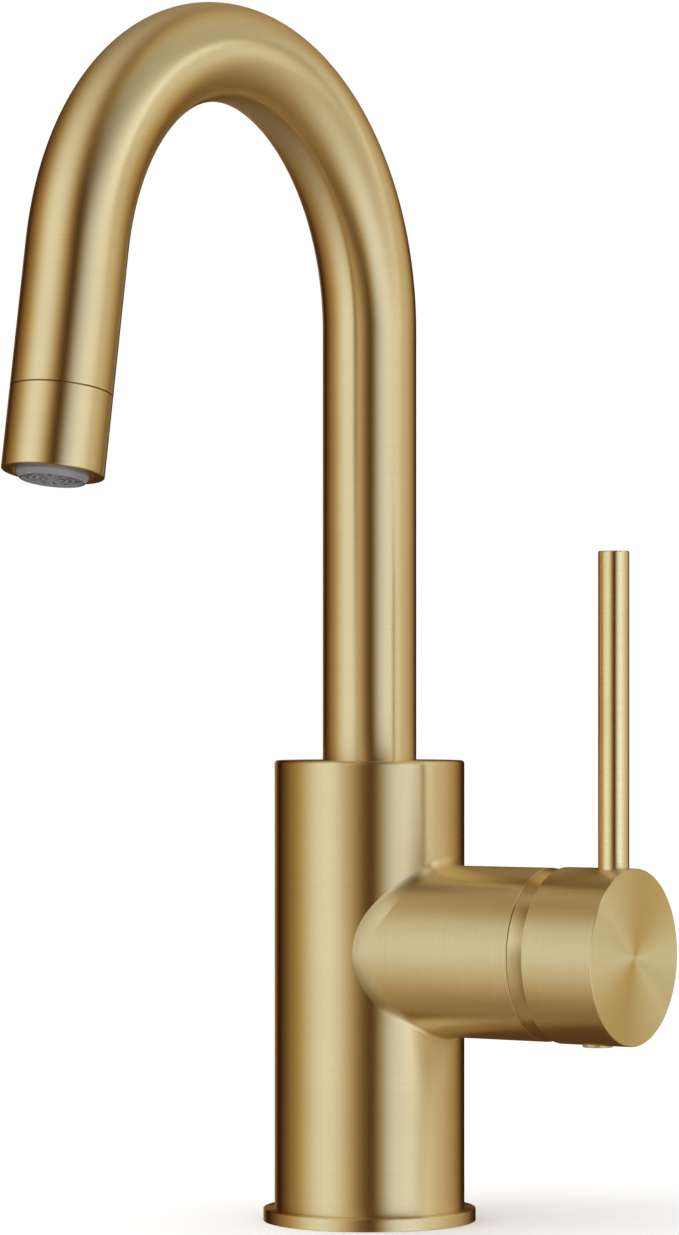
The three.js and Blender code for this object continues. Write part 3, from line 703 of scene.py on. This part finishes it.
def bend_matrix(angle):
    """Turns +Z to the direction of the spout that far round the bend."""
    cos, sin = math.cos(angle), math.sin(angle)
    return [[1, 0, 0], [0, cos, -sin], [0, sin, cos]]


def slope_normals(points):
    """Upward normals of a relief, from its own slopes. Its rows are circles, from the outside in to
    a point."""
    inward, around = np.gradient(points, axis=0), np.gradient(points, axis=1)
    around[:, 0] = around[:, -1] = points[:, 1] - points[:, -2]  # where each circle closes
    normals = np.cross(around, inward)
    normals /= np.maximum(np.linalg.norm(normals, axis=-1, keepdims=True), TINY)
    normals[-1] = [0, 0, 1]
    return normals


def make_piece(name, patches, material, body, nodes, face=None):
    """One closed mesh of the patches, with their normals, that rides on a body and replaces CAD
    nodes. face gives a direction, a material for the faces that look that way, and how many
    degrees they may be off it."""
    vertices, faces, normals, uvs, brushes = [], [], [], [], []
    base = 0
    for patch in patches:
        points = patch["points"]
        rows, columns = points.shape[:2]
        index = base + np.arange(rows * columns).reshape(rows, columns)
        quads = np.stack([index[:-1, :-1], index[1:, :-1], index[1:, 1:], index[:-1, 1:]], -1)
        a, b = points[1:, 1:] - points[:-1, :-1], points[:-1, 1:] - points[1:, :-1]
        if (np.cross(a, b) * patch["normals"][:-1, :-1]).sum() < 0:
            quads = quads[..., ::-1]
        quads = quads.reshape(-1, 4)
        vertices.append(points.reshape(-1, 3))
        faces.append(quads)
        corner = (quads - base).reshape(-1)
        normals.append(patch["normals"].reshape(-1, 3)[corner])
        uvs.append(patch["uv"].reshape(-1, 2)[corner])
        brushes.append(patch["brush"].reshape(-1, 3)[corner])
        base += rows * columns
    vertices, faces = np.concatenate(vertices), np.concatenate(faces)

    mesh = bpy.data.meshes.new(name)
    mesh.from_pydata(vertices.tolist(), [], faces.tolist())
    if face:
        direction, face_material, degrees_off = face
        looks = np.concatenate(normals).reshape(-1, 4, 3).mean(1) @ np.array(direction)
        picks = looks > math.cos(math.radians(degrees_off))
        mesh.polygons.foreach_set("material_index", picks.astype(np.int32))
    mesh.uv_layers.new(name=UV_MAP)
    mesh.uv_layers[UV_MAP].data.foreach_set(
        "uv", (np.concatenate(uvs) / UV_METRES).astype(np.float32).ravel()
    )
    for attribute, values in ((BRUSH, brushes), ("facing", normals)):
        layer = mesh.attributes.new(attribute, "FLOAT_VECTOR", "CORNER")
        layer.data.foreach_set("vector", np.concatenate(values).astype(np.float32).ravel())

    edit = bmesh.new()
    edit.from_mesh(mesh)
    bmesh.ops.remove_doubles(edit, verts=edit.verts, dist=WELD)
    edit.to_mesh(mesh)
    edit.free()
    facing = np.zeros(len(mesh.loops) * 3, np.float32)
    mesh.attributes["facing"].data.foreach_get("vector", facing)
    mesh.attributes.remove(mesh.attributes["facing"])
    mesh.shade_smooth()
    mesh.normals_split_custom_set(facing.reshape(-1, 3).tolist())
    mesh.materials.append(material)
    if face:
        mesh.materials.append(face_material)

    piece = bpy.data.objects.new(name, mesh)
    bpy.context.scene.collection.objects.link(piece)
    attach(piece, body)
    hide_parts(*nodes)


# ---- Base and body ----------------------------------------------------------------------------


def make_base():
    """The ring under the body, with a recess below for its gasket."""
    foot_edge, top_edge = 0.15 * MM, 0.3 * MM
    recess, margin, slack = 1.5 * MM, 1.5 * MM, 0.3 * MM
    recess_inner = FLANGE_HOLE_R + margin - slack
    recess_outer = FLANGE_R - margin + slack
    outline = rounded(
        [
            (FLANGE_R, 0, foot_edge),
            (FLANGE_R, FLANGE_TOP, top_edge),
            (FLANGE_HOLE_R, FLANGE_TOP),
            (FLANGE_HOLE_R, 0),
            (recess_inner, 0),
            (recess_inner, recess),
            (recess_outer, recess),
            (recess_outer, 0),
        ]
    )
    patches = lathe(outline, columns=144)
    make_piece("flange_turned", patches, SATIN_BRASS, "root", ["base_flange"])


BODY_SIDE = 48  # columns round half the body, and round a quarter of the arm
ARM_PANEL = 34.0 * MM  # half the height of the body's panel round the arm
ROWS_BELOW, ROWS_ABOVE, PANEL_RINGS = 7, 4, 10
ARM_ROWS, BORE_ROWS = 12, 6


def body_wall(radius, branch_r, fillet, low, high, sign):
    """A cylinder's wall from low to high, open where the branch meets it."""
    panel_low, panel_high = ARM_Z - ARM_PANEL, ARM_Z + ARM_PANEL
    all_round = full_turn(2 * BODY_SIDE, -QUARTER)
    behind = QUARTER + np.linspace(0, math.pi, BODY_SIDE + 1)

    def wall(rows, angles):
        points = np.stack([np.full_like(rows, radius), rows], -1)
        normals = np.tile([sign, 0.0], (len(rows), 1))
        return revolve((points, normals, rows), angles)

    panel = main_patch(
        radius, branch_r, fillet, QUARTER, -ARM_PANEL, ARM_PANEL, BODY_SIDE, PANEL_RINGS, sign
    )
    panel["points"][..., 2] += ARM_Z
    panel["uv"][..., 0] += ARM_Z
    panel["brush"][..., 0] += ARM_Z
    return [
        wall(np.linspace(low, panel_low, ROWS_BELOW), all_round),
        wall(np.linspace(panel_low, panel_high, BODY_SIDE + 1), behind),
        panel,
        wall(np.linspace(panel_high, high, ROWS_ABOVE), all_round),
    ]


def make_body():
    """The hollow body and its side arm, whose mouth is bored out for the dome ring's skirt."""
    top_edge, foot_edge, hole_edge = 0.9 * MM, 0.15 * MM, 0.15 * MM
    end_edge, mouth_edge = 0.25 * MM, 0.2 * MM
    tube_hole = TUBE_R + 0.15 * MM
    plate_low = BODY_TOP - BODY_PLATE

    patches = body_wall(
        BODY_R, ARM_R, ARM_FILLET, BODY_FOOT + foot_edge, BODY_TOP - top_edge, 1.0
    )
    patches += body_wall(BODY_BORE_R, ARM_BORE_R, NO_FILLET, BODY_FOOT, plate_low, -1.0)
    top = rounded(
        [
            (BODY_R, BODY_TOP - 2 * top_edge),
            (BODY_R, BODY_TOP, top_edge),
            (tube_hole, BODY_TOP, hole_edge),
            (tube_hole, plate_low),
            (BODY_BORE_R, plate_low),
        ],
        closed=False,
    )[1:]
    patches += lathe(top, 2 * BODY_SIDE, -QUARTER, closed=False, longest=4 * MM, outward=1.0)
    foot = rounded(
        [
            (BODY_BORE_R, BODY_FOOT),
            (BODY_R, BODY_FOOT, foot_edge),
            (BODY_R, BODY_FOOT + 2 * foot_edge),
        ],
        closed=False,
    )[:-1]
    patches += lathe(foot, 2 * BODY_SIDE, -QUARTER, closed=False, outward=1.0)

    wall_end = ARM_END - end_edge
    arm = [
        fillet_patch(BODY_R, ARM_R, ARM_FILLET, BODY_SIDE),
        branch_wall(BODY_R, ARM_R, ARM_FILLET, wall_end, BODY_SIDE, ARM_ROWS),
        branch_wall(
            BODY_BORE_R, ARM_BORE_R, NO_FILLET, ARM_THREAD_START, BODY_SIDE, BORE_ROWS, -1.0
        ),
    ]
    end = rounded(
        [
            (ARM_R, ARM_END - 2 * end_edge),
            (ARM_R, ARM_END, end_edge),
            (ARM_THREAD_R, ARM_END, mouth_edge),
            (ARM_THREAD_R, ARM_THREAD_START),
            (ARM_BORE_R, ARM_THREAD_START),
        ],
        closed=False,
    )[1:]
    arm += placed(lathe(end, 4 * BODY_SIDE, -EIGHTH, closed=False, outward=1.0), TO_X)
    patches += placed(arm, UNTURNED, (0, 0, ARM_Z))
    make_piece("body_turned", patches, SATIN_BRASS, "root", ["body_shell"])


# ---- Spout ------------------------------------------------------------------------------------

TUBE_COLUMNS = 96
RISER_STATIONS, BEND_STATIONS, LEG_STATIONS = 16, 86, 5


def spout_station(along):
    """The centreline's point and its angle round the bend, that far up from the riser's foot."""
    angle = min(max((along - RISER) / BEND_R, 0.0), BEND)
    straight = min(along - RISER, 0.0) + max(along - RISER - BEND * BEND_R, 0.0)
    centre = np.array(
        [
            0.0,
            -BEND_R * (1 - math.cos(angle)) - straight * math.sin(angle),
            RISER_TOP + BEND_R * math.sin(angle) + straight * math.cos(angle),
        ]
    )
    return centre, angle


def make_tube():
    """The bent tube, from its foot in the body to the seam at the aerator housing."""
    end = SPOUT_LENGTH - SEAM
    edge = 0.12 * MM
    stations = np.concatenate(
        [
            np.linspace(0, RISER, RISER_STATIONS)[:-1],
            np.linspace(RISER, BEND_END, BEND_STATIONS)[:-1],
            np.linspace(BEND_END, end - edge, LEG_STATIONS),
        ]
    )
    angles = full_turn(TUBE_COLUMNS)
    circle = np.stack([np.cos(angles), np.sin(angles), 0 * angles], -1)

    def wall(radius, sign):
        place, facing = [], []
        for along in stations:
            centre, angle = spout_station(along)
            spokes = circle @ np.array(bend_matrix(angle)).T
            place.append(centre + radius * spokes)
            facing.append(sign * spokes)
        flat = np.ones((len(stations), TUBE_COLUMNS + 1))
        u = stations[:, None] * flat
        v = angles[None, :] * radius * flat
        ring = np.broadcast_to(radius * circle[:, :2], (*flat.shape, 2))
        brush = np.concatenate([u[..., None], ring], -1)
        return grid(np.array(place), np.array(facing), np.stack([u, v], -1), brush)

    patches = [wall(TUBE_R, 1.0), wall(TUBE_BORE_R, -1.0)]
    foot = [(TUBE_BORE_R, 0.0), (TUBE_R, 0.0)]
    foot_patches = lathe(foot, TUBE_COLUMNS, closed=False, outward=1.0)
    patches += placed(foot_patches, UNTURNED, (0, 0, TUBE_FOOT))
    mouth = rounded(
        [(TUBE_R, -2 * edge), (TUBE_R, 0.0, edge), (TUBE_BORE_R, 0.0), (TUBE_BORE_R, -edge)],
        closed=False,
    )[1:]
    tip, angle = spout_station(end)
    mouth_patches = lathe(mouth, TUBE_COLUMNS, closed=False, outward=1.0)
    patches += placed(mouth_patches, bend_matrix(angle), tip)
    make_piece("spout_bent_tube", patches, SATIN_BRASS, "spout", ["spout_tube"])


def make_housing(tip, matrix, outward):
    """The aerator's housing, which carries on the tube's line and has a lip round its mouth."""
    inner, lip, lip_start = 10.8 * MM, 10.1 * MM, 17.3 * MM
    seam_edge, end_edge, lip_edge = 0.12 * MM, 0.35 * MM, 0.3 * MM
    outline = rounded(
        [
            (inner, SEAM),
            (TUBE_R, SEAM, seam_edge),
            (TUBE_R, TIP_LENGTH, end_edge),
            (lip, TIP_LENGTH, lip_edge),
            (lip, lip_start),
            (inner, lip_start),
        ]
    )
    make_piece(
        "aerator_ring",
        placed(lathe(outline, TUBE_COLUMNS), matrix, tip),
        SATIN_BRASS,
        "spout",
        ["aerator_housing"],
        (outward, FINE_BRASS, 8),
    )


NOSE_COLUMNS = 144
WELL_R = 7.5 * MM  # the insert's face lies in a shallow well
RELIEF_ROWS, RELIEF, RING_PITCH, SPOKES = 60, 0.35 * MM, 1.5 * MM, 12
SPOKE_FROM, SPOKE_TO, SPOKE_END, WELL_EDGE = 2.6 * MM, 6.6 * MM, 0.3 * MM, 0.2 * MM


def well_relief(well_z):
    """The bottom of the well: raised rings, with spokes across most of them."""
    radii = np.linspace(WELL_R, 0.0, RELIEF_ROWS + 1)[:, None]
    angles = full_turn(NOSE_COLUMNS)[None, :]
    rings = 0.5 + 0.5 * np.cos(2 * math.pi * radii / RING_PITCH)
    rings = np.clip(rings * 1.6 - 0.3, 0, 1)  # steeper, with flat tops and bottoms
    spokes = np.clip(np.cos(SPOKES * angles) * 3 - 1.6, 0, 1)
    starts = np.clip((radii - SPOKE_FROM) / SPOKE_END, 0, 1)
    ends = np.clip((SPOKE_TO - radii) / SPOKE_END, 0, 1)
    rise = RELIEF * np.maximum(rings, spokes * (starts * ends))
    height = well_z + rise * np.clip((WELL_R - radii) / WELL_EDGE, 0, 1)
    flat = np.ones_like(height)
    place = np.stack([radii * np.cos(angles), radii * np.sin(angles), height], -1)
    uv = np.stack([(WELL_R - radii) * flat, angles * WELL_R * flat], -1)
    return grid(place, slope_normals(place), uv, place.copy())


def make_insert(tip, matrix, outward):
    """The aerator's grey insert: a short tapered nose with a rim round the well."""
    nose_r, face_r, back_z = 8.95 * MM, 8.1 * MM, 17.0 * MM
    face_z = TIP_LENGTH + 1.8 * MM
    well_z = face_z - 0.7 * MM
    edge, well_edge = 0.3 * MM, 0.15 * MM
    nose = rounded(
        [
            (0.0, back_z),
            (nose_r, back_z),
            (nose_r, TIP_LENGTH + 0.3 * MM, edge),
            (face_r, face_z, edge),
            (WELL_R, face_z, well_edge),
            (WELL_R, well_z),
        ],
        closed=False,
    )
    patches = lathe(nose, NOSE_COLUMNS, closed=False, longest=3 * MM, outward=1.0)
    patches.append(well_relief(well_z))
    make_piece(
        "aerator_nose",
        placed(patches, matrix, tip),
        SLOT_MATERIALS["grey_plastic"],
        "spout",
        ["aerator_insert"],
        (outward, DARK_PLASTIC, 34),
    )


def make_aerator():
    """Both pieces at the spout's end."""
    tip, angle = spout_station(SPOUT_LENGTH)
    matrix = bend_matrix(angle)
    outward = np.array(matrix) @ [0, 0, 1]
    make_housing(tip, matrix, outward)
    make_insert(tip, matrix, outward)


# ---- Handle -----------------------------------------------------------------------------------


def make_dome():
    """The domed trim that screws into the arm, and that the cap's hollow turns over."""
    skirt_low, skirt_outer, skirt_inner = 2.6 * MM, 19.6 * MM, 18.2 * MM
    shoulder = ARM_END - PIVOT_X + 0.2 * MM
    inner_r = DOME_R - DOME_WALL
    outer_start = math.acos(shoulder / DOME_R)
    inner_start = math.asin(skirt_inner / inner_r)
    outline = [
        (skirt_inner, skirt_low),
        (skirt_outer, skirt_low),
        (skirt_outer, shoulder),
        *sphere_arc(DOME_R, outer_start, DOME_OPENING, steps=24),
        *sphere_arc(inner_r, DOME_OPENING, inner_start, steps=8),
    ]
    patches = placed(lathe(outline, columns=144), TO_X, PIVOT)
    make_piece("dome_turned", patches, FINE_BRASS, "root", ["dome_ring"])


CAP_SIDE = 24  # columns round a quarter of the cap, and round a quarter of each hole in it
HOLE_SLACK = 0.05 * MM
HOLE_RINGS, HOLE_ROWS = 6, 4


def make_cap():
    """The handle's cap: a flat face, a hollow behind it, and a hole each for the lever and plug."""
    hub_r, hub_start = 7.0 * MM, 14.0 * MM
    face_edge, rim_edge = 0.22 * MM, 0.12 * MM
    panel_low, panel_high = 15.6 * MM, 30.4 * MM
    rim_angle = math.acos(CAP_START / CAP_HOLLOW_R)
    hub_angle = math.asin(hub_r / CAP_HOLLOW_R)
    behind = [
        (0.0, hub_start),
        (hub_r, hub_start),
        *sphere_arc(CAP_HOLLOW_R, hub_angle, rim_angle, steps=20),
        (CAP_R, CAP_START, rim_edge),
        (CAP_R, panel_low),
    ]
    front = [(CAP_R, panel_high), (CAP_R, CAP_END, face_edge), (0.0, CAP_END)]
    patches = []
    for outline in (rounded(behind, closed=False), rounded(front, closed=False)):
        turned = lathe(outline, 4 * CAP_SIDE, -EIGHTH, closed=False, longest=2 * MM, outward=1.0)
        patches += placed(turned, TO_X)

    # The wall between them: a panel round each hole, and the plain flanks between the panels.
    rows = np.linspace(panel_low, panel_high, CAP_SIDE + 1)
    points = np.stack([np.full_like(rows, CAP_R), rows], -1)
    normals = np.tile([1.0, 0.0], (len(rows), 1))
    for start in (EIGHTH, 5 * EIGHTH):
        angles = start + np.linspace(0, 2 * EIGHTH, CAP_SIDE + 1)
        patches += placed([revolve((points, normals, rows), angles)], TO_X)
    for hole_r, hole_x, floor, turn in (
        (LEVER_R + HOLE_SLACK, LEVER_X, LEVER_FOOT - HOLE_SLACK, TO_X),
        (PLUG_R + 3 * HOLE_SLACK, PLUG_X, -PLUG_HEAD - HOLE_SLACK, TO_X_BELOW),
    ):
        low, high = panel_low - hole_x, panel_high - hole_x
        hole = [
            main_patch(CAP_R, hole_r, NO_FILLET, EIGHTH, low, high, CAP_SIDE, HOLE_RINGS),
            branch_wall(CAP_R, hole_r, NO_FILLET, floor, CAP_SIDE, HOLE_ROWS, -1.0),
        ]
        disc = [(0.0, floor), (hole_r, floor)]
        hole += placed(lathe(disc, 4 * CAP_SIDE, -EIGHTH, closed=False, outward=-1.0), TO_X)
        for patch in hole:
            patch["brush"][..., 0] += hole_x
        patches += placed(hole, turn, (hole_x, 0, 0))
    # The faces that look along +X take the face brass, which is painted lighter and paler as a painted sheen.
    make_piece(
        "cap_turned",
        placed(patches, UNTURNED, PIVOT),
        SATIN_BRASS,
        "handle",
        ["handle_cap"],
        ((1, 0, 0), FACE_BRASS_PAINTED_SHEEN, 8),
    )


def make_lever():
    """The thin lever above the cap, and the plug over its set screw below."""
    tip_edge, crown_edge = 0.35 * MM, 0.25 * MM
    rod = rounded(
        [
            (0.0, LEVER_FOOT),
            (LEVER_R, LEVER_FOOT),
            (LEVER_R, LEVER_TOP, tip_edge),
            (0.0, LEVER_TOP),
        ],
        closed=False,
    )
    patches = lathe(rod, columns=64, closed=False, outward=1.0)
    patches = placed(patches, UNTURNED, (PIVOT_X + LEVER_X, 0, ARM_Z))
    make_piece("lever_turned", patches, ROD_BRASS, "handle", ["lever_rod"])

    plug = rounded(
        [
            (0.0, PLUG_HEAD),
            (PLUG_R, PLUG_HEAD),
            (PLUG_R, PLUG_FOOT, crown_edge),
            (0.0, PLUG_FOOT),
        ],
        closed=False,
    )
    patches = lathe(plug, columns=48, closed=False, outward=-1.0)
    patches = placed(patches, UNTURNED, (PIVOT_X + PLUG_X, 0, ARM_Z))
    make_piece(
        "plug_moulded",
        patches,
        SLOT_MATERIALS["plug_plastic"],
        "handle",
        ["screw_plug"],
    )


def dress_cad_nodes():
    """Gives every CAD node the material of its slot in the record."""
    slots = {part["node"]: part["material_slot"] for part in record["subparts"]}
    for name, node in frame["nodes"].items():
        node.data.materials.clear()
        node.data.materials.append(SLOT_MATERIALS[slots[name]])


make_studio()
make_floor()
make_key_light()
make_base()
make_body()
make_tube()
make_aerator()
make_dome()
make_cap()
make_lever()
dress_cad_nodes()
